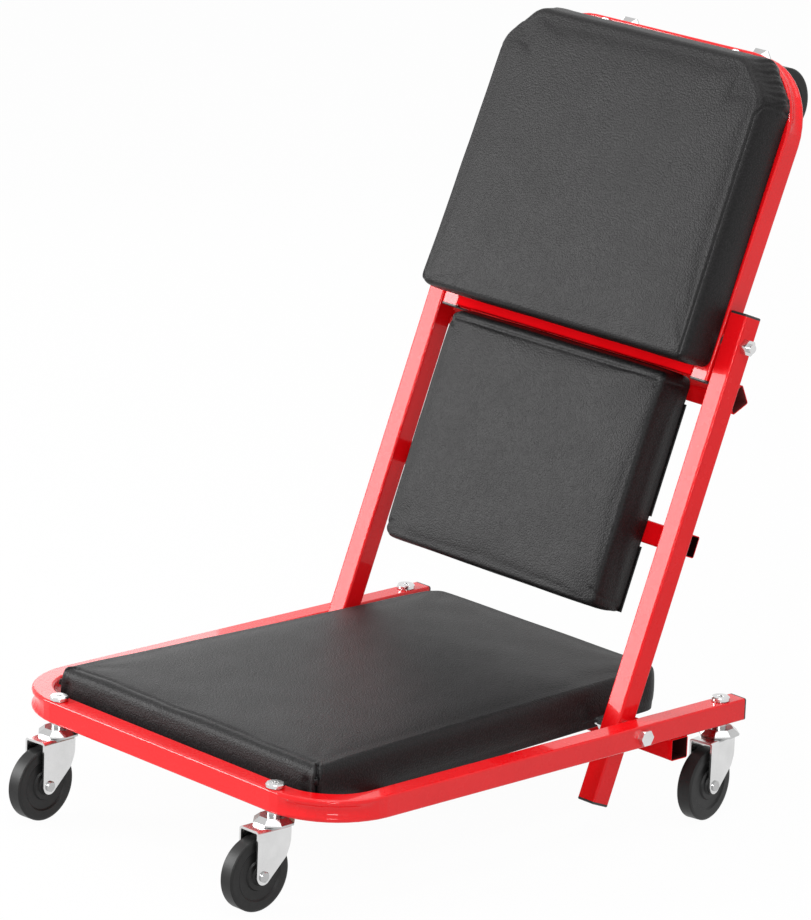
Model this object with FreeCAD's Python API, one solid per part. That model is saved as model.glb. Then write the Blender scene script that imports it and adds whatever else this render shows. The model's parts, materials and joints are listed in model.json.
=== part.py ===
import FreeCAD, Part
import math
import os

V = FreeCAD.Vector
X = V(1, 0, 0)
Y = V(0, 1, 0)
Z = V(0, 0, 1)

# Square tube of all three frames
tube = 20.0
wall = 1.2
tube_corner = 2.0
bend_radius = 60.0
groove_depth = 2.6
groove_corner = 3.0
groove_run_deg = 22.5
bend_bands = 12

# Base frame, measured from the front face of its front bar, and insets from its ends and sides
front_y = -313.8
base_width = 430.0
base_length = 498.0
pivot_inset = 126.0
crossbar_back = 36.0
crossbar_inset = 0.5
strap_width = 25.0
strap_thick = 3.0
strap_back = 92.0
strap_inset = 12.0

# Middle frame, measured from its pivots along the tubes
back_lean_deg = 21.2
side_gap = 4.0
middle_below = 67.5
middle_past = 25.5
middle_bar_rise = 170.0
bar_inset = 10.0
stop_bar_drop = 45.6

# Upper frame, measured from the upper pivot along the tubes
pivot_rise = 350.0
head_lean_deg = 22.5
head_gap = 2.0
head_below = 38.0
head_above = 251.5
head_bar_rise = -27.0

# Pivot bolts
bolt_r = 4.0
bolt_fit = 0.05
bolt_head_across = 13.0
bolt_head_thick = 5.3
nut_thick = 6.5
thread_end = 6.5
joint_gap = 0.3
spacer_r = 9.0

# End plugs and cap nuts
plug_flange = 2.2
plug_depth = 14.0
plug_fit = 0.15
plug_edge = 0.7
cap_r = 8.3
cap_thick = 3.2
cap_edge = 0.9
cap_collar_r = 6.3
cap_collar = 1.0
cap_socket = 5.0
cap_socket_deep = 2.0
cap_fit = 0.5

# Pads and their boards
board_thick = 8.0
board_inset = 3.5
board_fit = 0.3
pad_sides = [(2.2, 0.4), (0.6, 6.0), (0.0, 14.0), (0.0, 29.0), (0.7, 34.0), (2.2, 37.4), (5.0, 39.4)]
pad_crown = [(11.0, 40.8), (24.0, 42.3), (44.0, 43.6), (72.0, 44.4)]
base_pad_front = 30.0
base_pad_rear_inset = 37.5
base_pad_front_side = 45.0
base_pad_rear_side = 68.0
middle_pad_low = 93.5
middle_pad_drop = 40.5
middle_pad_side = 35.0
head_pad_low = -28.5
head_pad_top_inset = 9.0
head_pad_low_side = 0.5
head_pad_high_side = 5.0
head_pad_corner = 34.0
head_pad_corner_r = 24.0
pad_low_corner_r = 8.0
base_pad_front_corner_r = 7.0
base_pad_rear_corner_r = 17.0

# Pad screws
screw_r = 2.0
screw_fit = 0.2
screw_head_r = 4.0
screw_head_thick = 2.4
screw_head_edge = 1.0
screw_bite = 6.5
hole_past = 0.5
base_screw_x = 95.0
middle_screw_x = 80.0
head_screw_inset = 5.5
head_screw_drops = [156.5, 61.5]

# Casters, hung below the tube from the mounting plane
stem_r = 4.9
stem_hole_r = 5.1
stem_past = 1.6
stem_fit = 0.2
collar_r = 6.5
collar_drop = 4.2
race_top_across = 24.0
race_across = 34.4
race_flare = 8.6
race_drop = 10.3
race_gap = 0.4
kingpin_r = 4.0
kingpin_head_r = 6.5
kingpin_head = 2.4
fork_thick = 2.2
fork_gap = 20.0
fork_lead = 12.5
fork_bend = 3.4
fork_nose = 6.0
fork_heel = 0.5
fork_knee_in = 2.5
fork_knee_drop = 14.0
fork_waist_in = 8.5
fork_waist_drop = 28.0
fork_end_deg = -37.0
fork_end_r = 7.5
wheel_gap = 6.1
wheel_r = 32.5
wheel_width = 14.4
hub_width = 19.0
hub_r = 8.0
web_r = 14.0
hub_taper = 1.0
hub_shoulder = 0.4
web_dish = 1.2
rim_r = 22.0
rim_slope = 1.5
tread_edge = [(2.6, 0.0), (0.9, 0.4), (0.0, 1.3)]
trail = 20.5
axle_r = 3.0
axle_fit = 0.06
rivet_r = 4.8
rivet_thick = 2.1
rivet_edge = 0.9
front_stem_side = 72.7
front_stem_back = 8.5
rear_stem_inset = 21.0
head_stem_side = 87.0
front_left_deg = 4.4
front_right_deg = 0.6
rear_deg = 10.9

# Derived positions, and the tolerance for picking edges
same = 0.01
half_tube = tube / 2
fork_top = -(race_drop + race_gap)
axle_z = fork_top - fork_thick - wheel_gap - wheel_r
rail_z = wheel_r - axle_z
rail_mid_z = rail_z + half_tube
base_half = base_width / 2
lower_pivot = V(0, front_y + base_length - pivot_inset, rail_mid_z)
crossbar_reach = base_half - crossbar_inset
strap_reach = base_half - strap_inset
middle_outer = base_half - tube - side_gap
middle_inner = middle_outer - tube
middle_x = middle_outer - half_tube
head_outer = middle_inner - head_gap
head_inner = head_outer - tube
head_x = head_outer - half_tube
lean_rad = math.radians(back_lean_deg)
upper_pivot = lower_pivot + V(0, math.sin(lean_rad), math.cos(lean_rad)) * pivot_rise
bar_reach = middle_outer - bar_inset
stop_bar_depth = half_tube * math.sqrt(2) - tube_corner * (math.sqrt(2) - 1)
front_stem_x = base_half - front_stem_side
rear_stem_x = base_half - half_tube
rear_stem_back = base_length - rear_stem_inset
head_stem_x = head_outer - head_stem_side
base_casters = {
    "front_left": (-front_stem_x, front_stem_back, front_left_deg),
    "front_right": (front_stem_x, front_stem_back, front_right_deg),
    "rear_left": (-rear_stem_x, rear_stem_back, -rear_deg),
    "rear_right": (rear_stem_x, rear_stem_back, rear_deg),
}
head_casters = {"head_left": -head_stem_x, "head_right": head_stem_x}


# Helpers
def placed(shape, origin, ax, ay):
    az = ax.cross(ay)
    rows = [ax.x, ay.x, az.x, origin.x, ax.y, ay.y, az.y, origin.y, ax.z, ay.z, az.z, origin.z]
    moved = shape.copy()
    moved.Placement = FreeCAD.Placement(FreeCAD.Matrix(*rows, 0, 0, 0, 1))
    return moved


def line(a, b):
    return Part.LineSegment(a, b).toShape()


def arc(a, m, b):
    return Part.Arc(a, m, b).toShape()


def polar(centre, r, degrees):
    a = math.radians(degrees)
    return centre + V(r * math.cos(a), r * math.sin(a), 0)


def corner_arc(centre, r, first, last):
    return arc(polar(centre, r, first), polar(centre, r, (first + last) / 2), polar(centre, r, last))


def section(half, corner, dent):
    """Outline of the tube with +X outward; dent draws the outer side in to a groove."""
    c = half - corner
    turn = 0.0
    if dent > 0:
        turn = math.degrees(math.atan2(c, (c * c + dent * dent) / (2 * dent) - dent))
    top = corner_arc(V(c, c, 0), corner, 90, -turn)
    low = corner_arc(V(c, -c, 0), corner, turn, -90)
    upper_end = polar(V(c, c, 0), corner, -turn)
    lower_end = polar(V(c, -c, 0), corner, turn)
    side = line(upper_end, lower_end)
    if dent > 0:
        side = arc(upper_end, V(half - dent, 0, 0), lower_end)
    edges = [line(V(-c, half, 0), V(c, half, 0)), top, side, low, line(V(c, -half, 0), V(-c, -half, 0))]
    edges.append(corner_arc(V(-c, -c, 0), corner, -90, -180))
    edges.append(line(V(-half, -c, 0), V(-half, c, 0)))
    edges.append(corner_arc(V(-c, c, 0), corner, 180, 90))
    return Part.Wire(edges)


def straight(a, b, out, up, shrink):
    outline = placed(section(half_tube - shrink, tube_corner - shrink, 0), a, out, up)
    return Part.Face(outline).extrude(b - a)


def square_tube(a, b, out, up):
    return straight(a, b, out, up, 0).cut(straight(a, b, out, up, wall))


def bend(centre, first, last, shrink):
    """Quarter bend; the groove runs in over the first part of the turn and out over the last."""
    wires = []
    for i in range(bend_bands + 1):
        degrees = 90 * i / bend_bands
        share = min(1.0, degrees / groove_run_deg, (90 - degrees) / groove_run_deg)
        ease = share * share * (3 - 2 * share)
        a = math.radians(degrees)
        out = first * math.cos(a) + last * math.sin(a)
        corner = tube_corner + (groove_corner - tube_corner) * ease - shrink
        outline = section(half_tube - shrink, corner, groove_depth * ease)
        wires.append(placed(outline, centre + out * bend_radius, out, first.cross(last)))
    return Part.makeLoft(wires, True, True)


def bent_frame(width, leg):
    """U of tube in the XY plane: closed end at y = 0, legs to y = leg."""
    x = width / 2 - half_tube
    bend_x = x - bend_radius
    bend_y = half_tube + bend_radius
    layers = []
    for shrink in (0, wall):
        left = straight(V(-x, bend_y, 0), V(-x, leg, 0), X * -1, Z, shrink)
        front = straight(V(-bend_x, half_tube, 0), V(bend_x, half_tube, 0), Y * -1, Z, shrink)
        right = straight(V(x, bend_y, 0), V(x, leg, 0), X, Z, shrink)
        left_bend = bend(V(-bend_x, bend_y, 0), X * -1, Y * -1, shrink)
        right_bend = bend(V(bend_x, bend_y, 0), Y * -1, X, shrink)
        layers.append(left.fuse([left_bend, front, right_bend, right]))
    return layers[0].cut(layers[1])


def cylinder(r, start, end):
    return Part.makeCylinder(r, (end - start).Length, start, end - start)


def ring(across, sides):
    """Closed regular polygon in the XY plane, measured across its flats."""
    r = across / 2 / math.cos(math.pi / sides)
    return Part.makePolygon([polar(V(0, 0, 0), r, (i + 0.5) * 360 / sides) for i in range(sides + 1)])


def hexagon(across, start, end):
    """Hexagonal prism measured across its flats, along X, Y or Z."""
    axis = (end - start) * (1 / (end - start).Length)
    ax = V(axis.y, axis.z, axis.x)
    return Part.Face(placed(ring(across, 6), start, ax, axis.cross(ax))).extrude(end - start)


def rounded(points, radii):
    """Closed outline through points, with an arc of the given radius at each."""
    corners = []
    edges = []
    count = len(points)
    for i in range(count):
        p = points[i]
        back = (points[i - 1] - p).normalize()
        ahead = (points[(i + 1) % count] - p).normalize()
        half = back.getAngle(ahead) / 2
        reach = radii[i] / math.tan(half)
        middle = p + (back + ahead).normalize() * (radii[i] / math.sin(half) - radii[i])
        corners.append((p + back * reach, middle, p + ahead * reach))
    for i in range(count):
        edges.append(arc(*corners[i]))
        edges.append(line(corners[i][2], corners[(i + 1) % count][0]))
    return Part.Wire(edges)


def lift(shape, z):
    moved = shape.copy()
    moved.translate(V(0, 0, z))
    return moved


def leaned(shape, degrees, pivot):
    moved = shape.copy()
    moved.rotate(V(0, 0, 0), X, -degrees)
    moved.translate(pivot)
    return moved


def mirrored_pair(shape):
    return Part.makeCompound([shape, shape.mirror(V(0, 0, 0), X)])


def on_middle(shape):
    return leaned(shape, back_lean_deg, lower_pivot)


def on_head(shape):
    return leaned(shape, head_lean_deg, upper_pivot)


def facing_front(shape, rear):
    """Turns a pad built lying on z = 0 upright, with its underside at y = rear."""
    moved = shape.copy()
    moved.rotate(V(0, 0, 0), X, 90)
    moved.translate(V(0, rear, 0))
    return moved


def save(name, shape):
    shape.exportStep("parts/" + name + ".step")


os.makedirs("parts", exist_ok=True)


# Small repeated pieces
def plug(tip, out, side):
    """End plug on a tube that ends at tip and points along out."""
    flange = Part.Face(section(half_tube, tube_corner, 0)).extrude(V(0, 0, plug_flange))
    rim = [e for e in flange.Edges if e.BoundBox.ZMin > plug_flange - same]
    flange = flange.makeChamfer(plug_edge, rim)
    inner = half_tube - wall - plug_fit
    body = Part.Face(section(inner, tube_corner - wall + plug_fit, 0)).extrude(V(0, 0, -plug_depth))
    return placed(flange.fuse(body), tip, side, out.cross(side))


def cap_nut():
    """Round cap nut standing on z = 0, with a hex socket on top and a blind hole for the stem."""
    top = cap_collar + cap_thick
    head = Part.makeCylinder(cap_r, cap_thick, V(0, 0, cap_collar))
    rim = [e for e in head.Edges if e.BoundBox.ZMin > top - same and e.Length > cap_r]
    head = head.makeChamfer(cap_edge, rim)
    nut = head.fuse(Part.makeCylinder(cap_collar_r, cap_collar))
    nut = nut.cut(hexagon(cap_socket, V(0, 0, top - cap_socket_deep), V(0, 0, top)))
    return nut.cut(Part.makeCylinder(stem_hole_r, stem_past + stem_fit))


def screw(depth):
    """Pan-head screw along Z: the head bears on z = -depth and the tip ends inside the board."""
    head = Part.makeCylinder(screw_head_r, screw_head_thick, V(0, 0, -depth - screw_head_thick))
    rim = [e for e in head.Edges if e.BoundBox.ZMax < -depth - screw_head_thick + same]
    head = head.makeChamfer(screw_head_edge, rim)
    return head.fuse(Part.makeCylinder(screw_r, depth + screw_bite, V(0, 0, -depth)))


def screw_hole(depth):
    return Part.makeCylinder(screw_r + screw_fit, depth + screw_bite + hole_past, V(0, 0, -depth))


def at_places(shape, places):
    copies = []
    for x, y in places:
        copy = shape.copy()
        copy.translate(V(x, y, 0))
        copies.append(copy)
    return copies


# Pads: outlines in plan, shrunk by an inset
def base_outline(inset):
    front = front_y + base_pad_front + inset
    rear = front_y + base_length - base_pad_rear_inset - inset
    wide = base_half - base_pad_front_side - inset
    slim = base_half - base_pad_rear_side - inset
    points = [V(-wide, front, 0), V(wide, front, 0), V(slim, rear, 0), V(-slim, rear, 0)]
    radii = [base_pad_front_corner_r] * 2 + [base_pad_rear_corner_r] * 2
    return rounded(points, radii)


def middle_outline(inset):
    wide = middle_inner - middle_pad_side - inset
    low = middle_pad_low + inset
    high = pivot_rise - middle_pad_drop - inset
    points = [V(-wide, low, 0), V(wide, low, 0), V(wide, high, 0), V(-wide, high, 0)]
    return rounded(points, [pad_low_corner_r] * 4)


def head_outline(inset):
    low = head_pad_low + inset
    high = head_above - head_pad_top_inset - inset
    wide = head_outer - head_pad_low_side - inset
    slim = head_outer - head_pad_high_side - inset
    side = high - head_pad_corner
    top = slim - head_pad_corner
    right = [V(wide, low, 0), V(slim, side, 0), V(top, high, 0)]
    left = [V(-top, high, 0), V(-slim, side, 0), V(-wide, low, 0)]
    radii = [pad_low_corner_r] + [head_pad_corner_r] * 4 + [pad_low_corner_r]
    return rounded(right + left, radii)


def pad(outline):
    wires = []
    for inset, height in pad_sides + pad_crown:
        wires.append(lift(outline(inset), height))
    pocket = Part.Face(outline(board_inset - board_fit)).extrude(V(0, 0, board_thick + board_fit))
    return Part.makeLoft(wires, True, True).cut(pocket)


def board(outline, places):
    sheet = Part.Face(outline(board_inset)).extrude(V(0, 0, board_thick))
    return sheet.cut(at_places(screw_hole(0), places))


# Base frame
frame = bent_frame(base_width, base_length)
frame.translate(V(0, front_y, rail_mid_z))
for x, back, turn in base_casters.values():
    below = V(x, front_y + back, rail_z)
    frame = frame.cut(cylinder(stem_hole_r, below, below + V(0, 0, tube)))
frame = frame.cut(cylinder(bolt_r + bolt_fit, lower_pivot - X * base_half, lower_pivot + X * base_half))
save("base_frame", frame)

crossbar_y = lower_pivot.y + crossbar_back + half_tube
crossbar_mid = V(0, crossbar_y, rail_z - half_tube)
crossbar = square_tube(crossbar_mid - X * crossbar_reach, crossbar_mid + X * crossbar_reach, Y, Z)
rear_screws = [(-base_screw_x, crossbar_y), (base_screw_x, crossbar_y)]
crossbar = crossbar.cut([lift(s, rail_z) for s in at_places(screw_hole(tube), rear_screws)])
save("base_rear_crossbar", crossbar)

strap_y = front_y + strap_back + strap_width / 2
strap_corner = V(-strap_reach, front_y + strap_back, rail_z - strap_thick)
strap = Part.makeBox(2 * strap_reach, strap_width, strap_thick, strap_corner)
front_screws = [(-base_screw_x, strap_y), (base_screw_x, strap_y)]
strap = strap.cut([lift(s, rail_z) for s in at_places(screw_hole(strap_thick), front_screws)])
save("base_front_strap", strap)

save("base_pad_board", lift(board(base_outline, rear_screws + front_screws), rail_z))
save("base_pad", lift(pad(base_outline), rail_z))
base_screws = at_places(screw(tube), rear_screws) + at_places(screw(strap_thick), front_screws)
save("base_pad_screws", lift(Part.makeCompound(base_screws), rail_z))

rail_tip = V(base_half - half_tube, front_y + base_length, rail_mid_z)
save("base_end_plugs", mirrored_pair(plug(rail_tip, Y, X)))
base_caps = at_places(cap_nut(), [(x, front_y + back) for x, back, turn in base_casters.values()])
save("base_cap_nuts", lift(Part.makeCompound(base_caps), rail_z + tube))

# Lower pivot: bolt head outside the rail, nut inside the middle tube
lower_head_face = lower_pivot + X * base_half
lower_nut_face = lower_pivot + X * (middle_inner - joint_gap)
lower_bolt_tip = lower_nut_face - X * (nut_thick + thread_end)
lower_bolt = hexagon(bolt_head_across, lower_head_face, lower_head_face + X * bolt_head_thick)
lower_bolt = lower_bolt.fuse(cylinder(bolt_r, lower_bolt_tip, lower_head_face))
save("lower_pivot_bolts", mirrored_pair(lower_bolt))
lower_nut = hexagon(bolt_head_across, lower_nut_face - X * nut_thick, lower_nut_face)
lower_nut = lower_nut.cut(cylinder(bolt_r + bolt_fit, lower_nut_face - X * nut_thick, lower_nut_face))
save("lower_pivot_nuts", mirrored_pair(lower_nut))
rail_inner = lower_pivot + X * (base_half - tube)
lower_spacer_end = lower_pivot + X * (middle_outer + joint_gap)
lower_spacer = cylinder(spacer_r, lower_spacer_end, rail_inner)
lower_spacer = lower_spacer.cut(cylinder(bolt_r + bolt_fit, lower_spacer_end, rail_inner))
save("lower_pivot_spacers", mirrored_pair(lower_spacer))

# Middle frame, built upright about the lower pivot and then leaned back
side_low = V(middle_x, 0, -middle_below)
side_high = V(middle_x, 0, pivot_rise + middle_past)
side_tube = square_tube(side_low, side_high, X, Y)
for rise in (0, pivot_rise):
    hole = cylinder(bolt_r + bolt_fit, V(middle_inner, 0, rise), V(middle_outer, 0, rise))
    side_tube = side_tube.cut(hole)
save("middle_tube_right", on_middle(side_tube))
save("middle_tube_left", on_middle(side_tube.mirror(V(0, 0, 0), X)))
middle_plugs = Part.makeCompound([plug(side_low, Z * -1, X), plug(side_high, Z, X)])
save("middle_end_plugs", on_middle(mirrored_pair(middle_plugs)))

middle_mid = V(0, tube, middle_bar_rise)
middle_bar = square_tube(middle_mid - X * bar_reach, middle_mid + X * bar_reach, Y, Z)
middle_screws = [(-middle_screw_x, middle_bar_rise), (middle_screw_x, middle_bar_rise)]
middle_holes = Part.makeCompound(at_places(screw_hole(tube), middle_screws))
middle_bar = middle_bar.cut(facing_front(middle_holes, half_tube))
save("middle_lower_crossbar", on_middle(middle_bar))
stop_mid = V(0, half_tube + stop_bar_depth, pivot_rise - stop_bar_drop)
slant = (Y + Z).normalize()
stop_bar = square_tube(stop_mid - X * bar_reach, stop_mid + X * bar_reach, slant, X.cross(slant))
save("middle_stop_crossbar", on_middle(stop_bar))

save("middle_pad_board", on_middle(facing_front(board(middle_outline, middle_screws), half_tube)))
save("middle_pad", on_middle(facing_front(pad(middle_outline), half_tube)))
middle_fixings = Part.makeCompound(at_places(screw(tube), middle_screws))
save("middle_pad_screws", on_middle(facing_front(middle_fixings, half_tube)))

# Upper pivot: bolt head inside the upper tube, nut outside the middle tube
pivot_top = V(0, 0, pivot_rise)
upper_head_face = pivot_top + X * (head_inner - joint_gap)
upper_nut_face = pivot_top + X * middle_outer
upper_bolt_tip = upper_nut_face + X * (nut_thick + thread_end / 2)
upper_bolt = hexagon(bolt_head_across, upper_head_face - X * bolt_head_thick, upper_head_face)
upper_bolt = upper_bolt.fuse(cylinder(bolt_r, upper_head_face, upper_bolt_tip))
save("upper_pivot_bolts", on_middle(mirrored_pair(upper_bolt)))
upper_nut = hexagon(bolt_head_across, upper_nut_face, upper_nut_face + X * nut_thick)
upper_nut = upper_nut.cut(cylinder(bolt_r + bolt_fit, upper_nut_face, upper_nut_face + X * nut_thick))
save("upper_pivot_nuts", on_middle(mirrored_pair(upper_nut)))
upper_spacer_end = pivot_top + X * (head_outer + joint_gap)
upper_spacer_base = pivot_top + X * middle_inner
upper_spacer = cylinder(spacer_r, upper_spacer_end, upper_spacer_base)
upper_spacer = upper_spacer.cut(cylinder(bolt_r + bolt_fit, upper_spacer_end, upper_spacer_base))
save("upper_pivot_spacers", on_middle(mirrored_pair(upper_spacer)))

# Upper frame, built upright about the upper pivot and then leaned back
head_frame = bent_frame(2 * head_outer, head_above + head_below)
head_frame.rotate(V(0, 0, 0), X, -90)
head_frame.translate(V(0, 0, head_above))
head_frame = head_frame.cut(cylinder(bolt_r + bolt_fit, V(-head_outer, 0, 0), V(head_outer, 0, 0)))
head_stem_rise = head_above - half_tube
for x in head_casters.values():
    hole = cylinder(stem_hole_r, V(x, -half_tube, head_stem_rise), V(x, half_tube, head_stem_rise))
    head_frame = head_frame.cut(hole)
head_screws = []
for rise in [head_above - drop for drop in head_screw_drops]:
    head_screws += [(-head_inner - head_screw_inset, rise), (head_inner + head_screw_inset, rise)]
head_holes = Part.makeCompound(at_places(screw_hole(tube), head_screws))
head_frame = head_frame.cut(facing_front(head_holes, -half_tube))
save("upper_frame", on_head(head_frame))

head_mid = V(0, 0, head_bar_rise)
head_bar = square_tube(head_mid - X * head_inner, head_mid + X * head_inner, Y, Z)
save("upper_crossbar", on_head(head_bar))
save("upper_end_plugs", on_head(mirrored_pair(plug(V(head_x, 0, -head_below), Z * -1, X))))
cap_places = [(x, head_stem_rise) for x in head_casters.values()]
cap_room = Part.makeCylinder(cap_r + cap_fit, cap_collar + cap_thick + cap_fit)
reliefs = at_places(cap_room, cap_places)
save("upper_pad_board", on_head(facing_front(board(head_outline, head_screws).cut(reliefs), -half_tube)))
save("upper_pad", on_head(facing_front(pad(head_outline).cut(reliefs), -half_tube)))
head_fixings = Part.makeCompound(at_places(screw(tube), head_screws))
save("upper_pad_screws", on_head(facing_front(head_fixings, -half_tube)))
head_caps = at_places(cap_nut(), cap_places)
save("upper_cap_nuts", on_head(facing_front(Part.makeCompound(head_caps), -half_tube)))


# Casters, built with the mounting plane at z = 0 and the wheel trailing along -Y
def octagon(across, z):
    return lift(ring(across, 8), z)


def caster_stem():
    stem = Part.makeCylinder(stem_r, tube + stem_past + collar_drop, V(0, 0, -collar_drop))
    collar = Part.makeCylinder(collar_r, collar_drop, V(0, 0, -collar_drop))
    rings = [octagon(race_top_across, -collar_drop), octagon(race_across, -race_flare)]
    dish = Part.makeLoft(rings, True, True)
    lip = Part.Face(octagon(race_across, -race_flare)).extrude(V(0, 0, race_flare - race_drop))
    foot = fork_top - fork_thick - race_gap
    kingpin = cylinder(kingpin_r, V(0, 0, -race_drop), V(0, 0, foot - kingpin_head))
    button = Part.makeCylinder(kingpin_head_r, kingpin_head, V(0, 0, foot - kingpin_head))
    return stem.fuse([collar, dish, lip, kingpin, button])


def fork_side():
    """Outline of a fork leg in the YZ plane, round about the axle."""
    back = -trail - fork_end_r
    end = V(0, -trail, axle_z)
    knee = V(0, fork_lead - fork_knee_in, fork_top - fork_knee_drop)
    waist = V(0, fork_lead - fork_waist_in, fork_top - fork_waist_drop)
    turns = [math.radians(a) for a in (fork_end_deg, (fork_end_deg - 90) / 2, -90, -135, -180)]
    ends = [end + V(0, math.cos(a), math.sin(a)) * fork_end_r for a in turns]
    corners = [V(0, back, fork_top), V(0, fork_lead, fork_top), knee, waist, ends[0]]
    edges = [line(corners[i], corners[i + 1]) for i in range(4)]
    edges.append(arc(ends[0], ends[1], ends[2]))
    edges.append(arc(ends[2], ends[3], ends[4]))
    edges.append(line(ends[4], corners[0]))
    return Part.Face(Part.Wire(edges))


def long_top_edges(box):
    """The two top edges of a box that run along Y."""
    top = box.BoundBox.ZMax
    long = box.BoundBox.YLength
    return [e for e in box.Edges if e.BoundBox.ZMin > top - same and e.BoundBox.YLength > long - same]


def caster_fork():
    """Pressed inverted U: top plate with rounded bends and two legs, bored for kingpin and axle."""
    half = fork_gap / 2 + fork_thick
    back = -trail - fork_end_r
    length = fork_lead - back
    depth = fork_top - axle_z + fork_end_r
    block = Part.makeBox(2 * half, length, depth, V(-half, back, fork_top - depth))
    block = block.makeFillet(fork_bend, long_top_edges(block))
    inside = Part.makeBox(fork_gap, length, depth, V(-fork_gap / 2, back, fork_top - fork_thick - depth))
    block = block.cut(inside.makeFillet(fork_bend - fork_thick, long_top_edges(inside)))
    side = fork_side()
    side.translate(V(-half, 0, 0))
    block = block.common(side.extrude(V(2 * half, 0, 0)))
    heels = [V(-half, back, fork_top), V(half, back, fork_top)]
    noses = [V(half, fork_lead, fork_top), V(-half, fork_lead, fork_top)]
    plan = rounded(heels + noses, [fork_heel] * 2 + [fork_nose] * 2)
    block = block.common(Part.Face(plan).extrude(V(0, 0, -depth)))
    block = block.cut(cylinder(kingpin_r + bolt_fit, V(0, 0, fork_top), V(0, 0, fork_top - fork_thick)))
    return block.cut(cylinder(axle_r + axle_fit, V(-half, -trail, axle_z), V(half, -trail, axle_z)))


def caster_axle():
    half = fork_gap / 2 + fork_thick
    pin = cylinder(axle_r, V(-half, -trail, axle_z), V(half, -trail, axle_z))
    heads = []
    for side in (-1, 1):
        inner = V(side * half, -trail, axle_z)
        head = cylinder(rivet_r, inner, inner + X * (side * rivet_thick))
        tip = side * (half + rivet_thick)
        rim = [e for e in head.Edges if abs(e.BoundBox.Center.x - tip) < same and e.Length > rivet_r]
        heads.append(head.makeChamfer(rivet_edge, rim))
    return pin.fuse(heads)


def caster_wheel():
    """Turned wheel: long hub, dished web and a tread with chamfered edges."""
    h = wheel_width / 2
    hub = hub_width / 2
    shoulder = h + hub_shoulder
    hub_side = [(axle_r + axle_fit, hub), (hub_r, hub)]
    step = [(hub_r + hub_taper, shoulder), (web_r - hub_taper, shoulder)]
    web_side = [(web_r, h - web_dish), (rim_r, h - web_dish), (rim_r + rim_slope, h)]
    tread_side = [(wheel_r - drop, h - inset) for drop, inset in tread_edge]
    profile = hub_side + step + web_side + tread_side
    points = [V(x, 0, r) for r, x in profile] + [V(-x, 0, r) for r, x in reversed(profile)]
    wheel = Part.Face(Part.makePolygon(points + [points[0]])).revolve(V(0, 0, 0), X, 360)
    wheel.translate(V(0, -trail, axle_z))
    return wheel


caster_pieces = {"stem": caster_stem(), "fork": caster_fork(), "axle": caster_axle(), "wheel": caster_wheel()}
for where, (x, back, turn) in base_casters.items():
    for piece, shape in caster_pieces.items():
        moved = shape.copy()
        moved.rotate(V(0, 0, 0), Z, turn)
        moved.translate(V(x, front_y + back, rail_z))
        save("caster_" + where + "_" + piece, moved)
for where, x in head_casters.items():
    for piece, shape in caster_pieces.items():
        moved = shape.copy()
        moved.rotate(V(0, 0, 0), X, 90)
        moved.translate(V(x, half_tube, head_stem_rise))
        save("caster_" + where + "_" + piece, on_head(moved))
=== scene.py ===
import json
import math
from collections import namedtuple

import bmesh
import bpy
import numpy as np
from mathutils import Matrix, Vector
from mathutils.bvhtree import BVHTree


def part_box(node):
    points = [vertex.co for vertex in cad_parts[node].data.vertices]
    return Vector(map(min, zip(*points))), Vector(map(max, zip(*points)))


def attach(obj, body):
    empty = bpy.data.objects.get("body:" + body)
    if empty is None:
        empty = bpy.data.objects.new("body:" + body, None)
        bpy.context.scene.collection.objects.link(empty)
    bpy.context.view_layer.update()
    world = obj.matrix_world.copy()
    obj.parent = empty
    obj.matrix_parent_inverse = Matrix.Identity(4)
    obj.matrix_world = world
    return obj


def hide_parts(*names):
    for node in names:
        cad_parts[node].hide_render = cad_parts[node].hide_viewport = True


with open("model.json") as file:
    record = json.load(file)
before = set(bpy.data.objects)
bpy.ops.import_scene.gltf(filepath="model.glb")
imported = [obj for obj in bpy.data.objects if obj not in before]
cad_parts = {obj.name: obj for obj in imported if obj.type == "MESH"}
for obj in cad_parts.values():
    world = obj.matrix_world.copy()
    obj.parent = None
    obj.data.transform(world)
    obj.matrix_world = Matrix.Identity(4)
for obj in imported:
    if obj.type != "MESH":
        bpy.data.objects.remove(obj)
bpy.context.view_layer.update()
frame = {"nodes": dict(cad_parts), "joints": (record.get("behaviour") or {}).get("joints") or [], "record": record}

nodes = frame["nodes"]
scene = bpy.context.scene

# Places read from the frame, in metres
MM = 0.001
RAIL_LOW, RAIL_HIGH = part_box("base_frame")
TUBE = RAIL_HIGH.z - RAIL_LOW.z
PIVOTS = {joint["name"]: Vector(joint["pos_m"]) for joint in frame["joints"]}
BACK_RISE = PIVOTS["head_fold"] - PIVOTS["back_fold"]
BACK_LEAN = math.atan2(BACK_RISE.y, BACK_RISE.z)
HEAD_LEAN = math.radians(22.5)

# Camera, matched to the photograph's view
CAMERA_EYE = Vector((3.4459, -3.2777, 1.6624))
CAMERA_AIM = Vector((0.0, -0.0362, 0.3100))
CAMERA_ROLL = math.radians(2.167)
SENSOR = 36.0
PHOTO_HEIGHT = 920.0
FOCAL_PIXELS = 5626.2
VIEW_DEPTH = 50


# Small node-building helpers
def new_material(name):
    material = bpy.data.materials.new(name)
    material.use_nodes = True
    tree = material.node_tree
    return material, tree, tree.nodes["Principled BSDF"]


def add(tree, kind, **settings):
    node = tree.nodes.new(kind)
    for key, value in settings.items():
        setattr(node, key, value)
    return node


def own_place(tree):
    """Texture coordinates that stay with the piece when its body moves."""
    return add(tree, "ShaderNodeTexCoord").outputs["Object"]


def noise(tree, where, scale, detail, rough):
    node = add(tree, "ShaderNodeTexNoise")
    node.inputs["Scale"].default_value = scale
    node.inputs["Detail"].default_value = detail
    node.inputs["Roughness"].default_value = rough
    tree.links.new(where, node.inputs["Vector"])
    return node


def mottle(tree, where, scale, detail, rough):
    """Cloudy value from 0 to 1."""
    return noise(tree, where, scale, detail, rough).outputs["Fac"]


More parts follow.
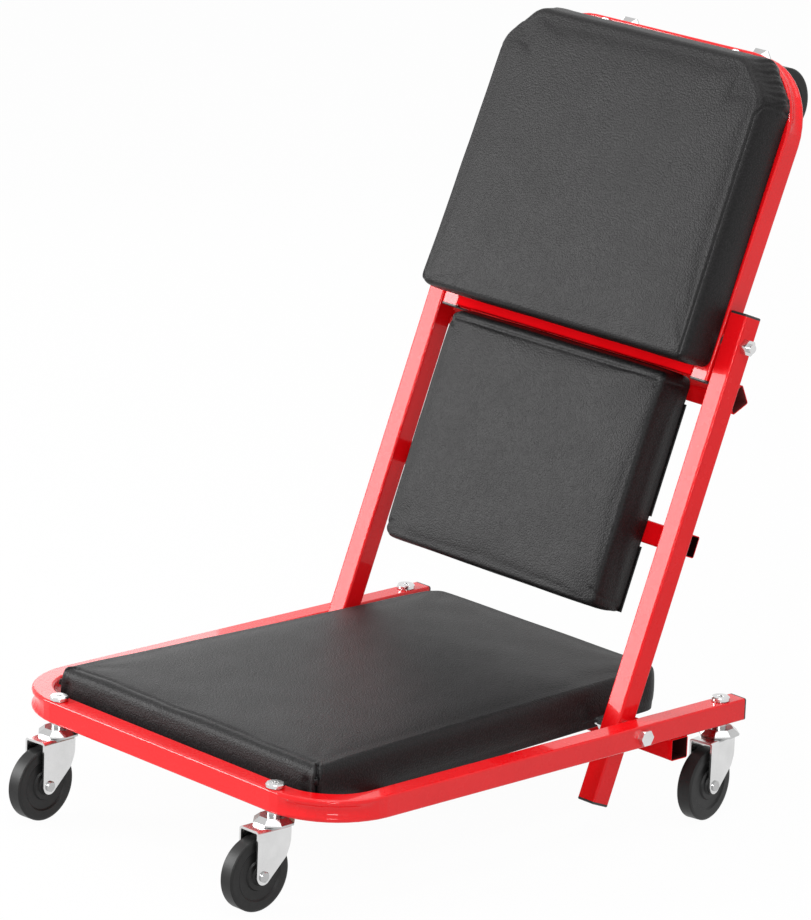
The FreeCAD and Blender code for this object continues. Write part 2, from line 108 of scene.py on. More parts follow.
def math_node(tree, operation, a, b):
    node = add(tree, "ShaderNodeMath", operation=operation)
    for socket, value in zip(node.inputs, (a, b)):
        if isinstance(value, (int, float)):
            socket.default_value = value
        else:
            tree.links.new(value, socket)
    return node.outputs[0]


def ramp(tree, value, stops):
    node = add(tree, "ShaderNodeValToRGB")
    elements = node.color_ramp.elements
    while len(elements) < len(stops):
        elements.new(0.5)
    for element, (place, colour) in zip(elements, stops):
        element.position = place
        element.color = (*colour, 1.0)
    tree.links.new(value, node.inputs["Fac"])
    return node.outputs["Color"]


def grey(level):
    return (level, level, level)


def remap(tree, value, low, high):
    """A value that runs from 0 to 1 spread over low to high."""
    node = add(tree, "ShaderNodeMapRange")
    tree.links.new(value, node.inputs["Value"])
    node.inputs["To Min"].default_value = low
    node.inputs["To Max"].default_value = high
    return node.outputs["Result"]


def surface(tree, shader, colour, roughness):
    tree.links.new(colour, shader.inputs["Base Color"])
    tree.links.new(roughness, shader.inputs["Roughness"])


def bump(tree, shader, height, strength, distance):
    node = add(tree, "ShaderNodeBump")
    node.inputs["Strength"].default_value = strength
    node.inputs["Distance"].default_value = distance
    tree.links.new(height, node.inputs["Height"])
    tree.links.new(node.outputs["Normal"], shader.inputs["Normal"])


# Colours of the materials
RED_DEEP = (0.76, 0.003, 0.006)
RED_BRIGHT = (0.83, 0.005, 0.009)
LEATHER_HIGH = (0.017, 0.0156, 0.0167)
LEATHER_MID = (0.008, 0.0073, 0.0079)
LEATHER_LOW = grey(0.004)
PLY_DARK = (0.30, 0.19, 0.10)
PLY_MID = (0.47, 0.33, 0.19)
PLY_PALE = (0.58, 0.43, 0.27)
ZINC = 0.66
STEM_ZINC = 0.5
RIVET_ZINC = 0.45


# Materials
def red_paint(name, coat, shine):
    """Glossy red powder coat with a faint orange peel."""
    material, tree, shader = new_material(name)
    where = own_place(tree)
    clouds = mottle(tree, where, scale=14, detail=3, rough=0.6)
    colour = ramp(tree, clouds, [(0.3, RED_DEEP), (0.7, RED_BRIGHT)])
    roughness = remap(tree, mottle(tree, where, scale=60, detail=3, rough=0.5), 0.22, 0.32)
    surface(tree, shader, colour, roughness)
    shader.inputs["Specular IOR Level"].default_value = shine
    shader.inputs["Coat Weight"].default_value = coat
    shader.inputs["Coat Roughness"].default_value = 0.04
    peel = mottle(tree, where, scale=420, detail=2, rough=0.5)
    bump(tree, shader, peel, strength=0.06, distance=0.6 * MM)
    return material


# Open cross tubes: the turn of each about X, and how bright the painted shade in its bore is
OPEN_TUBE_TURNS_AND_BORE_SHADES = {
    "base_rear_crossbar": (0.0, 0.04),
    "middle_lower_crossbar": (-BACK_LEAN, 0.015),
    "middle_stop_crossbar": (math.pi / 4 - BACK_LEAN, 0.16),
}
OPEN_COAT = 0.05
OPEN_SHINE = 0.02
BORE_HALF = 9.2 * MM
# Share of green and blue, against red, in the painted shade of a bore
BORE_SHADE_TINT = 0.2


def bore_shade_mask(tree, centre, turn):
    """1 inside an open square tube that runs across, where the painted shade goes, 0 on its outside."""
    inside = add(tree, "ShaderNodeMapping", vector_type="TEXTURE")
    inside.inputs["Location"].default_value = centre
    inside.inputs["Rotation"].default_value = (turn, 0, 0)
    inside.inputs["Scale"].default_value = (1.0, BORE_HALF, BORE_HALF)
    tree.links.new(own_place(tree), inside.inputs["Vector"])
    parts = add(tree, "ShaderNodeSeparateXYZ")
    tree.links.new(inside.outputs["Vector"], parts.inputs["Vector"])
    sizes = []
    for axis in "YZ":
        size = add(tree, "ShaderNodeMath", operation="ABSOLUTE")
        tree.links.new(parts.outputs[axis], size.inputs[0])
        sizes.append(size.outputs[0])
    return math_node(tree, "LESS_THAN", math_node(tree, "MAXIMUM", *sizes), 1.0)


def open_tube_paint_with_bore_shade(node, turn, level):
    """The red coat of an open cross tube, with a painted shade of dark red in its bore."""
    material = red_paint(node + "_coat", OPEN_COAT, OPEN_SHINE)
    tree = material.node_tree
    base = tree.nodes["Principled BSDF"].inputs["Base Color"]
    low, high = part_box(node)
    mix = add(tree, "ShaderNodeMixRGB")
    tree.links.new(bore_shade_mask(tree, (low + high) / 2, turn), mix.inputs["Fac"])
    tree.links.new(base.links[0].from_socket, mix.inputs["Color1"])
    # Painted shade: the bore takes a dark red at the tube's shade level in place of the coat's red
    mix.inputs["Color2"].default_value = (level, BORE_SHADE_TINT * level, BORE_SHADE_TINT * level, 1)
    tree.links.new(mix.outputs["Color"], base)
    return material


def pebbles(tree, where):
    """Distance from the middle of each pebble of the grain, with slightly wandering pebbles."""
    warp = add(tree, "ShaderNodeMixRGB", blend_type="ADD")
    warp.inputs["Fac"].default_value = 0.004
    tree.links.new(where, warp.inputs["Color1"])
    wander = noise(tree, where, scale=90, detail=2, rough=0.5)
    tree.links.new(wander.outputs["Color"], warp.inputs["Color2"])
    cells = add(tree, "ShaderNodeTexVoronoi")
    cells.inputs["Scale"].default_value = 640
    tree.links.new(warp.outputs["Color"], cells.inputs["Vector"])
    return cells.outputs["Distance"]


def black_leather():
    """Black leatherette with a fine pebbled grain."""
    material, tree, shader = new_material("black_leatherette")
    where = own_place(tree)
    fine = mottle(tree, where, scale=1500, detail=2, rough=0.6)
    grain = math_node(tree, "ADD", pebbles(tree, where), math_node(tree, "MULTIPLY", fine, 0.4))
    colour = ramp(tree, grain, [(0.25, LEATHER_HIGH), (0.6, LEATHER_MID), (1.0, LEATHER_LOW)])
    roughness = remap(tree, mottle(tree, where, scale=25, detail=3, rough=0.6), 0.42, 0.5)
    surface(tree, shader, colour, roughness)
    shader.inputs["Specular IOR Level"].default_value = 0.22
    bump(tree, shader, math_node(tree, "SUBTRACT", 1.0, grain), strength=0.55, distance=0.5 * MM)
    return material


def plywood():
    """Plain board with a long grain."""
    material, tree, shader = new_material("plywood")
    stretch = add(tree, "ShaderNodeMapping")
    stretch.inputs["Scale"].default_value = (3.0, 60.0, 60.0)
    tree.links.new(own_place(tree), stretch.inputs["Vector"])
    fibre = mottle(tree, stretch.outputs["Vector"], scale=4, detail=6, rough=0.65)
    colour = ramp(tree, fibre, [(0.3, PLY_DARK), (0.55, PLY_MID), (0.75, PLY_PALE)])
    surface(tree, shader, colour, remap(tree, fibre, 0.55, 0.75))
    bump(tree, shader, fibre, strength=0.25, distance=0.4 * MM)
    return material


def bright_zinc(name, level):
    """Bright plated steel with faint mottling."""
    material, tree, shader = new_material(name)
    where = own_place(tree)
    clouds = mottle(tree, where, scale=60, detail=3, rough=0.5)
    colour = ramp(tree, clouds, [(0.3, grey(level)), (0.7, grey(level * 1.1))])
    roughness = remap(tree, mottle(tree, where, scale=40, detail=3, rough=0.5), 0.14, 0.24)
    surface(tree, shader, colour, roughness)
    shader.inputs["Metallic"].default_value = 1.0
    grain = mottle(tree, where, scale=260, detail=2, rough=0.5)
    bump(tree, shader, grain, strength=0.03, distance=0.3 * MM)
    return material


def black_plastic():
    """Matt black moulded plastic with a light spark texture."""
    material, tree, shader = new_material("black_plastic")
    where = own_place(tree)
    clouds = mottle(tree, where, scale=300, detail=3, rough=0.6)
    colour = ramp(tree, clouds, [(0.3, grey(0.012)), (0.7, grey(0.022))])
    roughness = remap(tree, mottle(tree, where, scale=90, detail=3, rough=0.6), 0.35, 0.5)
    surface(tree, shader, colour, roughness)
    sparks = mottle(tree, where, scale=1100, detail=2, rough=0.5)
    bump(tree, shader, sparks, strength=0.15, distance=0.3 * MM)
    return material


def wheel_rubber():
    """Hard black wheel moulding, a little dusty and dull."""
    material, tree, shader = new_material("hard_black_wheel")
    where = own_place(tree)
    clouds = mottle(tree, where, scale=140, detail=4, rough=0.65)
    colour = ramp(tree, clouds, [(0.3, grey(0.007)), (0.7, grey(0.013))])
    roughness = remap(tree, mottle(tree, where, scale=60, detail=4, rough=0.6), 0.36, 0.52)
    surface(tree, shader, colour, roughness)
    shader.inputs["Specular IOR Level"].default_value = 0.3
    grain = mottle(tree, where, scale=900, detail=3, rough=0.6)
    bump(tree, shader, grain, strength=0.12, distance=0.3 * MM)
    return material


MATERIALS = {
    "red_paint": red_paint("red_powder_coat", coat=0.3, shine=0.1),
    "black_leather": black_leather(),
    "plywood": plywood(),
    "bright_zinc": bright_zinc("bright_zinc", ZINC),
    "black_plastic": black_plastic(),
    "caster_wheel": wheel_rubber(),
}

# Nodes with a finish of their own
BENT_FRAMES = ["base_frame", "upper_frame"]
PIVOT_FASTENERS = ["lower_pivot_bolts", "lower_pivot_nuts", "upper_pivot_bolts", "upper_pivot_nuts"]
CASTERS = ["front_left", "front_right", "rear_left", "rear_right", "head_left", "head_right"]
PIVOT_EDGE = 0.4 * MM
RIVET_EDGE = 0.7 * MM


def dress(piece, slot):
    piece.data.materials.clear()
    piece.data.materials.append(MATERIALS[slot])


def soften(piece, width):
    """Breaks the sharp edges of a turned or stamped piece."""
    edge = piece.modifiers.new("edge", "BEVEL")
    edge.width = width
    edge.segments = 2
    edge.limit_method = "ANGLE"
    edge.harden_normals = True


def dress_casters():
    """Darker zinc on the stems, and on the axle rivets, which are also softened."""
    rivets = bright_zinc("rivet_steel", RIVET_ZINC)
    stems = bright_zinc("stem_steel", STEM_ZINC)
    for corner in CASTERS:
        axle = nodes["caster_" + corner + "_axle"]
        axle.data.materials[0] = rivets
        soften(axle, RIVET_EDGE)
        nodes["caster_" + corner + "_stem"].data.materials[0] = stems


def dress_frame():
    """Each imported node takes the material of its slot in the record, and some a finish of their own."""
    for entry in frame["record"]["subparts"]:
        dress(nodes[entry["node"]], entry["material_slot"])
    # Open cross tubes get their coat with painted shade in the bore
    for node, (turn, level) in OPEN_TUBE_TURNS_AND_BORE_SHADES.items():
        nodes[node].data.materials[0] = open_tube_paint_with_bore_shade(node, turn, level)
    nodes["upper_crossbar"].data.materials[0] = red_paint("crossbar_coat", coat=0.0, shine=0.0)
    bent_coat = red_paint("bent_frame_coat", coat=0.6, shine=0.1)
    for node in BENT_FRAMES:
        nodes[node].data.materials[0] = bent_coat
    for node in PIVOT_FASTENERS:
        soften(nodes[node], PIVOT_EDGE)
    dress_casters()


# Planes of the pads
class PadPlane:
    """Local axes of a pad: x across, y along, z up from the board's underside."""

    def __init__(self, origin, along, up):
        self.origin = origin
        self.axes = Matrix((Vector((1, 0, 0)), along, up)).transposed()

    def out(self, points):
        return points @ np.array(self.axes).T + np.array(self.origin)

    def back(self, points):
        return (points - np.array(self.origin)) @ np.array(self.axes)


def leaning_plane(pivot, lean, front_shift):
    along = Vector((0, math.sin(lean), math.cos(lean)))
    up = Vector((0, -math.cos(lean), math.sin(lean)))
    return PadPlane(pivot + up * front_shift, along, up)


BASE_PLANE = PadPlane(Vector((0, 0, RAIL_LOW.z)), Vector((0, 1, 0)), Vector((0, 0, 1)))
MIDDLE_PLANE = leaning_plane(PIVOTS["back_fold"], BACK_LEAN, -TUBE / 2)
UPPER_PLANE = leaning_plane(PIVOTS["head_fold"], HEAD_LEAN, TUBE / 2)


# Meshes
def new_piece(name, points, faces):
    mesh = bpy.data.meshes.new(name)
    mesh.from_pydata([tuple(p) for p in points], [], [tuple(int(i) for i in f) for f in faces])
    mesh.validate()
    mesh.update()
    piece = bpy.data.objects.new(name, mesh)
    scene.collection.objects.link(piece)
    return piece


def coordinates(mesh):
    values = np.zeros(len(mesh.vertices) * 3)
    mesh.vertices.foreach_get("co", values)
    return values.reshape(-1, 3)


def set_coordinates(mesh, points):
    mesh.vertices.foreach_set("co", points.ravel())
    mesh.update()


def normals(mesh):
    values = np.zeros(len(mesh.vertices) * 3)
    mesh.vertex_normals.foreach_get("vector", values)
    return values.reshape(-1, 3)


def local_box(node, plane):
    points = plane.back(coordinates(nodes[node].data))
    return points.min(0), points.max(0)


def apply_modifiers(piece):
    graph = bpy.context.evaluated_depsgraph_get()
    mesh = bpy.data.meshes.new_from_object(piece.evaluated_get(graph))
    piece.modifiers.clear()
    piece.data = mesh


def subdivided(piece):
    smooth = piece.modifiers.new("smooth", "SUBSURF")
    smooth.levels = 1
    smooth.render_levels = 1
    apply_modifiers(piece)


def close_pocket(piece):
    """Fills the open loop with one flat face."""
    shell = bmesh.new()
    shell.from_mesh(piece.data)
    bmesh.ops.edgeloop_fill(shell, edges=[edge for edge in shell.edges if edge.is_boundary])
    bmesh.ops.recalc_face_normals(shell, faces=shell.faces)
    shell.to_mesh(piece.data)
    shell.free()


# Form of a pad
EDGE_HEIGHT = 39.0 * MM
EDGE_STEP = 0.5 * MM
COARSE_STEP = 6.5 * MM
STEP_GROWTH = 0.33
CROWN_RUN = 30 * MM
CORNER_RUN = 13 * MM
RIM = 3.2 * MM
POCKET = 8.3 * MM
WALL_SHARES = [0.95, 0.88, 0.79, 0.68, 0.56, 0.44, 0.32, 0.2, 0.09]
FOOT_HEIGHTS = np.array([7.0, 4.5, 2.4, 1.0, 0.4]) * MM
WALL_SWELL = 0.8 * MM
FOOT_TUCK = 0.8 * MM
FOOT_RUN = 14 * MM


def corner_size(cut, r):
    """Side of the square that a corner takes up."""
    return cut + r * math.tan(math.pi / 8)


def corner_curve(cut, r, t):
    """Corner of an outline, a 45 degree cut with its two ends rounded, for t from 0 to 1."""
    size = corner_size(cut, r)
    bend = r * math.pi / 4
    flat = cut * math.sqrt(2) - 2 * r * math.tan(math.pi / 8)
    run = t * (2 * bend + flat)
    first = np.minimum(run, bend) / r
    last = np.maximum(run - bend - flat, 0) / r
    slide = np.clip(run - bend, 0, flat) / math.sqrt(2)
    x = np.where(run <= bend + flat, size - r + r * np.cos(first) - slide, r * np.cos(math.pi / 4 + last))
    y = np.where(run <= bend, r * np.sin(first), 0)
    y = np.where(run > bend, r * math.sin(math.pi / 4) + slide, y)
    y = np.where(run > bend + flat, size - r + r * np.sin(math.pi / 4 + last), y)
    return x, y


def round_corner(r):
    return ((2 - math.sqrt(2)) * r, r)


def grid_lines(start, end, fine_places):
    """Positions from start to end, close together near the given (place, step) pairs."""
    lines = [start]
    while lines[-1] < end:
        steps = [step + STEP_GROWTH * abs(lines[-1] - where) for where, step in fine_places]
        lines.append(lines[-1] + min([COARSE_STEP] + steps))
    lines = np.array(lines)
    return start + (lines - start) * (end - start) / (lines[-1] - start)


def roll_drop(depth, radius):
    """How far a rounded edge lies below the face, at a depth in from the edge."""
    left = np.clip(radius - depth, 0, radius)
    return radius - np.sqrt(radius ** 2 - left ** 2)


class PadShape:
    """A pad's outline and height over a rectangle: taper, corners, rolled edges and crown."""

    def __init__(self, box, taper, corners, rolls, slack, crown, corner_drop, flare):
        self.half = box[1][0]
        self.low = box[0][1]
        self.high = box[1][1]
        self.taper = taper
        self.corners = corners
        self.rolls = rolls
        self.slack = slack
        self.crown = crown
        self.corner_drop = corner_drop
        self.flare = flare

    def narrowed(self, x, y):
        return x * (1 + (self.taper - 1) * (y - self.low) / (self.high - self.low))

    def outline(self, x, y):
        """Moves a point of the rectangle to its place within the rounded outline."""
        x = x.copy()
        y = y.copy()
        middle = (self.low + self.high) / 2
        for end, (cut, r) in zip((-1, 1), self.corners):
            size = corner_size(cut, r)
            p = np.abs(x) - (self.half - size)
            q = (y - middle) * end - ((self.high - self.low) / 2 - size)
            inside = (p > 0) & (q > 0)
            reach = np.maximum(p, q)
            safe = np.maximum(reach, 1e-9)
            t = np.where(p >= q, 0.5 * q / safe, 1 - 0.5 * p / safe)
            curve_x, curve_y = corner_curve(cut, r, np.clip(t, 0, 1))
            new_p = reach / size * curve_x
            new_q = reach / size * curve_y
            x = np.where(inside, np.sign(x) * (self.half - size + new_p), x)
            y = np.where(inside, middle + end * ((self.high - self.low) / 2 - size + new_q), y)
        return self.narrowed(x, y), y

    def height(self, x, y):
        """Rolled edges, slacker at mid-length, drawn down at the corners, and a low crown."""
        side = self.half - np.abs(x)
        low = y - self.low
        high = self.high - y
        end = np.minimum(low, high)
        middle = 1 - (2 * low / (self.high - self.low) - 1) ** 4
        side_roll, low_roll, high_roll = self.rolls
        drop = roll_drop(side, side_roll + self.slack * middle)
        drop = np.maximum(drop, np.maximum(roll_drop(low, low_roll), roll_drop(high, high_roll)))
        corner = self.corner_drop * np.exp(-np.hypot(side, end) / CORNER_RUN)
        crown = self.crown * (1 - np.exp(-side / CROWN_RUN)) * (1 - np.exp(-end / CROWN_RUN))
        return EDGE_HEIGHT - drop - corner + crown

    def side_x(self, y):
        """Half width of the outline at a place along the pad."""
        steps = np.linspace(self.low, self.high, 600)
        x, along = self.outline(np.full_like(steps, self.half), steps)
        return np.interp(y, along, x)

    def high_corner(self, t):
        """Point on the corner at the high end, from the side at t = 0 to the end at t = 1."""
        cut, r = self.corners[1]
        size = corner_size(cut, r)
        x, y = corner_curve(cut, r, np.array(t))
        y = self.high - size + y
        return self.narrowed(self.half - size + x, y), y


def border(columns, rows):
    """Indices of the grid's rim, once round."""
    ring = list(range(columns))
    ring += [j * columns + columns - 1 for j in range(1, rows)]
    ring += [(rows - 1) * columns + i for i in range(columns - 2, -1, -1)]
    ring += [j * columns for j in range(rows - 2, 0, -1)]
    return np.array(ring)


def rim_inward(rim):
    """Direction into the pad, in its plane, at each point of the rim."""
    ahead = np.roll(rim, -1, 0) - np.roll(rim, 1, 0)
    inward = np.stack([-ahead[:, 1], ahead[:, 0]], 1)
    return inward / np.linalg.norm(inward, axis=1)[:, None]


def wall_levels(rim_height, flare):
    """Inset and height of each ring of the side wall, from the rolled edge to the board's pocket."""
    levels = []
    for share in WALL_SHARES:
        rise = FOOT_HEIGHTS[0] + (rim_height - FOOT_HEIGHTS[0]) * share
        levels.append((-WALL_SWELL * 4 * share * (1 - share) - flare * (1 - share), rise))
    for rise in FOOT_HEIGHTS:
        tuck = FOOT_TUCK * (1 - rise / FOOT_RUN) ** 2
        levels.append((tuck - flare, np.full_like(rim_height, rise)))
    levels.append((RIM - flare, np.full_like(rim_height, FOOT_HEIGHTS[-1])))
    levels.append((RIM - flare, np.full_like(rim_height, POCKET)))
    return levels


def top_faces(columns, rows):
    faces = []
    for j in range(rows - 1):
        for i in range(columns - 1):
            a = j * columns + i
            faces.append((a, a + 1, a + columns + 1, a + columns))
    return faces


def pad_mesh(shape, fine_x, fine_y):
    """Vertices and faces of a pad: top grid, side wall and rim, open at the pocket for the board."""
    sides = [(-shape.half, EDGE_STEP), (shape.half, EDGE_STEP)]
    ends = [(shape.low, EDGE_STEP), (shape.high, EDGE_STEP)]
    xs = grid_lines(-shape.half, shape.half, sides + fine_x)
    ys = grid_lines(shape.low, shape.high, ends + fine_y)
    flat_x, flat_y = [grid.ravel() for grid in np.meshgrid(xs, ys)]
    outline_x, outline_y = shape.outline(flat_x, flat_y)
    points = [np.stack([outline_x, outline_y, shape.height(flat_x, flat_y)], 1)]
    faces = top_faces(len(xs), len(ys))
    above = border(len(xs), len(ys))
    rim = points[0][above]
    inward = rim_inward(rim)
    flare = shape.flare * np.clip(-inward[:, 1], 0, 1) ** 3
    count = len(points[0])
    for inset, rise in wall_levels(rim[:, 2], flare):
        points.append(np.column_stack([rim[:, :2] + inward * inset[:, None], rise]))
        ring = np.arange(count, count + len(rim))
        faces += zip(above, ring, np.roll(ring, -1), np.roll(above, -1))
        above = ring
        count += len(rim)
    return np.concatenate(points), faces


# Swelling of a cover
CLOTH_FRAMES = 20
CLOTH_PRESSURE = 4.0
PAD_CAP = 0.9 * MM
HELD_BELOW = 10 * MM


def add_cloth(piece, held):
    """Cloth under pressure from inside, held at the given points."""
    group = piece.vertex_groups.new(name="held")
    group.add([int(i) for i in np.nonzero(held)[0]], 1.0, "REPLACE")
    cloth = piece.modifiers.new("cloth", "CLOTH")
    settings = cloth.settings
    settings.quality = 5
    settings.mass = 0.25
    settings.tension_stiffness = 25
    settings.compression_stiffness = 25
    settings.shear_stiffness = 10
    settings.bending_stiffness = 4
    settings.use_pressure = True
    settings.uniform_pressure_force = CLOTH_PRESSURE
    settings.effector_weights.gravity = 0
    settings.vertex_group_mass = "held"
    cloth.point_cache.frame_start = 1
    cloth.point_cache.frame_end = CLOTH_FRAMES


def inflate(piece, held):
    """Lets the cover swell as cloth; the foam keeps it from sinking and the cap from going far."""
    rest = coordinates(piece.data)
    outward = normals(piece.data)
    add_cloth(piece, held)
    for number in range(1, CLOTH_FRAMES + 1):
        scene.frame_set(number)
    apply_modifiers(piece)
    scene.frame_set(1)
    piece.vertex_groups.clear()
    moved = coordinates(piece.data) - rest
    sunk = np.minimum((moved * outward).sum(1), 0)
    moved -= outward * sunk[:, None]
    length = np.linalg.norm(moved, axis=1)[:, None]
    soft = PAD_CAP * np.tanh(length / PAD_CAP) / np.maximum(length, 1e-9)
    set_coordinates(piece.data, rest + moved * soft)


# Length, direction and size of each wave in the foam
WAVES = [
    (0.11, 0.35, 0.1 * MM),
    (0.071, -0.9, 0.08 * MM),
    (0.047, 1.9, 0.06 * MM),
    (0.033, 0.4, 0.04 * MM),
]
WAVE_FADE = 9


def ripple(piece, rest_points):
    """Long shallow unevenness of foam under a cover."""
    x, y, z = rest_points.T
    lift = np.zeros(len(rest_points))
    for length, turn, size in WAVES:
        across = x * math.cos(turn) + y * math.sin(turn)
        lift += size * np.sin(2 * math.pi * across / length + 3 * turn) * np.cos(WAVE_FADE * y + turn)
    lift *= z > POCKET
    set_coordinates(piece.data, coordinates(piece.data) + normals(piece.data) * lift[:, None])


# Seams, folds and pleats
Seam = namedtuple("Seam", "path depth width ridge fade", defaults=[0.0, None])
PATH_STEP = 2 * MM
FRONT_CREASE = 9.5 * MM
CREASE_INSET = 10 * MM
CREASE_POINTS = 25
FOLD_INSET = 2 * MM
FOLD_TOP = 36 * MM
FOLD_FOOT = 3 * MM
TUCK_TOP = 25 * MM
TUCK_TOP_INSET = 12 * MM
TUCK_FOOT_INSET = 8 * MM
WELT = 7.5 * MM
WELT_INSET = 7 * MM
WALL_FOLD = 9 * MM
WALL_FOLD_LEAN = 5 * MM
WALL_FOLD_REACH = 6 * MM
WALL_FOLD_TOP = 31 * MM
WALL_FOLD_FOOT = 9 * MM
PANEL_TURN = 41 * MM
PANEL_WALL = [(11 * MM, 4 * MM), (6 * MM, 22 * MM), (2 * MM, 34 * MM)]
PANEL_SHARES = [0.15, 0.35, 0.55, 0.75, 0.9]
GATHER_SHARES = [0.2, 0.5, 0.8]
GATHER_HEIGHT = 12 * MM
GATHER_SWELL = 4 * MM
PLEATS = [0.1, 0.26, 0.45, 0.63, 0.82]
PLEAT_REACH = 5 * MM
PLEAT_CENTRE = 60 * MM
PLEAT_FADE = (12 * MM, 38 * MM)


def walk(path):
    """Points close together along a path."""
    points = [np.array(path[0])]
    for a, b in zip(path[:-1], path[1:]):
        a, b = np.array(a), np.array(b)
        count = max(1, int(np.linalg.norm(b - a) / PATH_STEP))
        points += [a + (b - a) * (k + 1) / count for k in range(count)]
    return points


def distance_to_path(points, path):
    nearest = np.full(len(points), np.inf)
    for a, b in zip(path[:-1], path[1:]):
        along = b - a
        share = np.clip((points - a) @ along / max(along @ along, 1e-12), 0, 1)
        nearest = np.minimum(nearest, np.linalg.norm(points - a - share[:, None] * along, axis=1))
    return nearest


def sew(piece, rest, seams):
    """Draws the cover in along each seam; the paths lie on the cover as it was before it swelled."""
    rest_points, rest_faces = rest
    tree = BVHTree.FromPolygons([tuple(p) for p in rest_points], rest_faces)
    pull = np.zeros(len(rest_points))
    for seam in seams:
        line = [np.array(tree.find_nearest(Vector(p))[0]) for p in walk(seam.path)]
        reach = 5 * seam.width
        low = np.min(line, 0) - reach
        high = np.max(line, 0) + reach
        near = np.nonzero(((rest_points > low) & (rest_points < high)).all(1))[0]
        distance = distance_to_path(rest_points[near], line)
        groove = seam.depth * np.exp(-(distance / seam.width) ** 2)
        groove -= seam.ridge * np.exp(-((distance - 2.2 * seam.width) / seam.width) ** 2)
        if seam.fade is not None:
            full, none = seam.fade
            groove *= np.clip((none - rest_points[near, 2]) / (none - full), 0, 1)
        pull[near] += groove
    set_coordinates(piece.data, coordinates(piece.data) - normals(piece.data) * pull[:, None])


def both_sides(path, **settings):
    """The same seam on the right and, mirrored, on the left."""
    mirrored = [(-x, y, z) for x, y, z in path]
    return [Seam(path, **settings), Seam(mirrored, **settings)]


def base_seams(shape):
    """Crease along the front edge, and a tucked fold at each front corner."""
    across = shape.half - CREASE_INSET
    crease = []
    for share in np.linspace(-1, 1, CREASE_POINTS):
        wander = 0.9 * MM * math.sin(7 * share) + 0.6 * MM * math.sin(17 * share + 1)
        crease.append((across * share, shape.low + FRONT_CREASE + wander, EDGE_HEIGHT))
    corner = (shape.half - FOLD_INSET, shape.low + FOLD_INSET)
    fold = [(across, shape.low + FRONT_CREASE, EDGE_HEIGHT), (*corner, FOLD_TOP), (*corner, FOLD_FOOT)]
    tuck = [(shape.half - TUCK_TOP_INSET, shape.low, TUCK_TOP)]
    tuck.append((shape.half - TUCK_FOOT_INSET, shape.low, FOLD_FOOT))
    seams = [Seam(crease, depth=0.9 * MM, width=2.4 * MM)]
    seams += both_sides(fold, depth=2.4 * MM, width=1.3 * MM, ridge=0.5 * MM)
    seams += both_sides(tuck, depth=2 * MM, width=4.5 * MM)
    return seams


def middle_seams(shape):
    """Welt along the top edge, and a short fold in the side wall at each corner."""
    along = shape.high - WELT
    across = shape.half - WELT_INSET
    welt = [(-across, along, EDGE_HEIGHT), (across, along, EDGE_HEIGHT)]
    seams = [Seam(welt, depth=0.9 * MM, width=2 * MM)]
    for end, inward in ((shape.high, -1), (shape.low, 1)):
        along = end + inward * WALL_FOLD
        fold = [(shape.half - WALL_FOLD_REACH, along + inward * WALL_FOLD_LEAN, EDGE_HEIGHT)]
        fold += [(shape.half, along, height) for height in (WALL_FOLD_TOP, WALL_FOLD_FOOT)]
        seams += both_sides(fold, depth=0.8 * MM, width=2 * MM)
    return seams


def panel_path(shape):
    """Seam of the right side panel: from the back round its upper end, then down the front edge."""
    turn = shape.high - PANEL_TURN
    path = []
    for rise, height in PANEL_WALL:
        path.append((shape.side_x(turn + rise), turn + rise, height))
    path.append((shape.side_x(turn - 8 * MM) - 4 * MM, turn - 8 * MM, EDGE_HEIGHT))
    for share in PANEL_SHARES:
        along = turn + (shape.low - turn) * share
        path.append((shape.side_x(along) - 3.5 * MM, along, EDGE_HEIGHT))
    path.append((shape.half - 4 * MM, shape.low + 5 * MM, EDGE_HEIGHT))
    return path


def pleat_path(shape, share):
    """Pleat up the wall and onto the front, at a share of the way round the right upper corner."""
    x, y = shape.high_corner(share)
    inward = np.array([-x, PLEAT_CENTRE - y]) / np.hypot(x, y - PLEAT_CENTRE)
    front = np.array([x, y]) + inward * PLEAT_REACH
    return [(x, y, 3 * MM), (x, y, 33 * MM), (*front, EDGE_HEIGHT)]


def upper_seams(shape):
    """Seams of the side panels, and the swollen, pleated gathers at the upper corners."""
    seams = both_sides(panel_path(shape), depth=1 * MM, width=0.9 * MM, ridge=0.2 * MM)
    gather = [(*shape.high_corner(share), GATHER_HEIGHT) for share in GATHER_SHARES]
    seams += both_sides(gather, depth=-GATHER_SWELL, width=9 * MM)
    for share in PLEATS:
        pleat = pleat_path(shape, share)
        seams += both_sides(pleat, depth=1.4 * MM, width=1.6 * MM, ridge=0.4 * MM, fade=PLEAT_FADE)
    return seams


# Pads
FOLD_STEP = 0.8 * MM
CREASE_STEP = 0.6 * MM
WELT_STEP = 0.5 * MM
PLEAT_STEP = 1.2 * MM
PLEAT_PITCH = 4 * MM
PLEATED_LINES = 11


def rest_cover(points, faces):
    """Subdivided points and faces of a cover that hasn't swollen."""
    spare = new_piece("rest", points, faces)
    subdivided(spare)
    rest = coordinates(spare.data), [tuple(f.vertices) for f in spare.data.polygons]
    bpy.data.objects.remove(spare)
    return rest


def make_pad(name, node, body, plane, shape, seams, fine_x, fine_y):
    points, faces = pad_mesh(shape, fine_x, fine_y)
    piece = new_piece(name, points, faces)
    inflate(piece, points[:, 2] < HELD_BELOW)
    subdivided(piece)
    rest = rest_cover(points, faces)
    ripple(piece, rest[0])
    sew(piece, rest, seams)
    close_pocket(piece)
    set_coordinates(piece.data, plane.out(coordinates(piece.data)))
    piece.data.shade_smooth()
    dress(piece, "black_leather")
    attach(piece, body)
    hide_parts(node)


